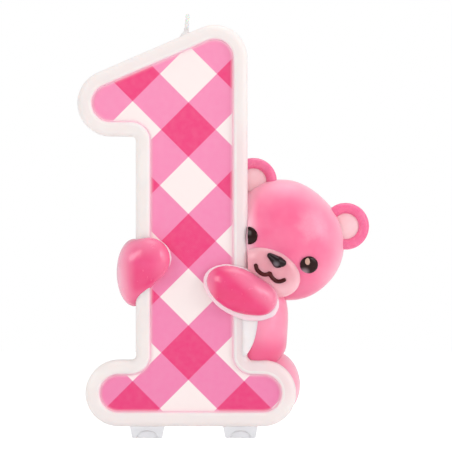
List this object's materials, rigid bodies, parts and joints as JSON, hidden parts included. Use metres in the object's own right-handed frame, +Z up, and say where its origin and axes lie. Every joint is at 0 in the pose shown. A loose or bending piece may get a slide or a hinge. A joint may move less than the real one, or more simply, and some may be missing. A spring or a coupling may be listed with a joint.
{
  "type": "number birthday candle",
  "caption": "Wax birthday candle shaped as a figure one with a rounded rim and a check print, hugged from its side by a small wax bear, on clear plastic pick feet.",
  "frame": {"origin": "middle of the wax base's underside, half way through the candle's depth and in line with the stem's middle: the level at which the wax sits on a cake", "axes": "+Z up towards the wick, front of the candle facing -Y, the bear on the +X side"},
  "size_m": [0.0585, 0.0198, 0.085],
  "materials": {
    "white_wax": "semi-gloss translucent wax",
    "gingham_print": "printed wax film, satin",
    "waxed_cotton": "waxed braided cotton",
    "clear_plastic": "clear moulded plastic",
    "pink_wax": "semi-gloss coloured wax",
    "deep_pink_wax": "semi-gloss coloured wax",
    "pale_pink_wax": "semi-gloss coloured wax",
    "dark_paint": "glossy brown-black paint",
    "peach_paint": "glossy peach paint"
  },
  "bodies": {
    "candle": {"number_body": "white_wax", "gingham_panel": "gingham_print", "wick": "waxed_cotton", "bear_head": "pink_wax", "bear_muzzle": "pale_pink_wax", "bear_nose": "dark_paint", "bear_mouth": "dark_paint", "bear_ear_left": "pink_wax", "bear_ear_right": "pink_wax", "ear_lining_left": "pale_pink_wax", "ear_lining_right": "pale_pink_wax", "bear_eye_left": "dark_paint", "bear_eye_right": "dark_paint", "eye_glint_left": "peach_paint", "eye_glint_right": "peach_paint", "bear_torso": "pink_wax", "bear_leg_near": "pink_wax", "bear_leg_far": "pink_wax", "bear_arm_front": "deep_pink_wax", "bear_arm_back": "deep_pink_wax"},
    "left_foot": {"pick_foot_left": "clear_plastic"},
    "right_foot": {"pick_foot_right": "clear_plastic"}
  },
  "joints": [
    {"name": "left_foot_slide", "type": "slide", "parent": "candle", "child": "left_foot", "axis": [0, 0, -1], "range_m": [0, 0.008]},
    {"name": "right_foot_slide", "type": "slide", "parent": "candle", "child": "right_foot", "axis": [0, 0, -1], "range_m": [0, 0.008]}
  ]
}
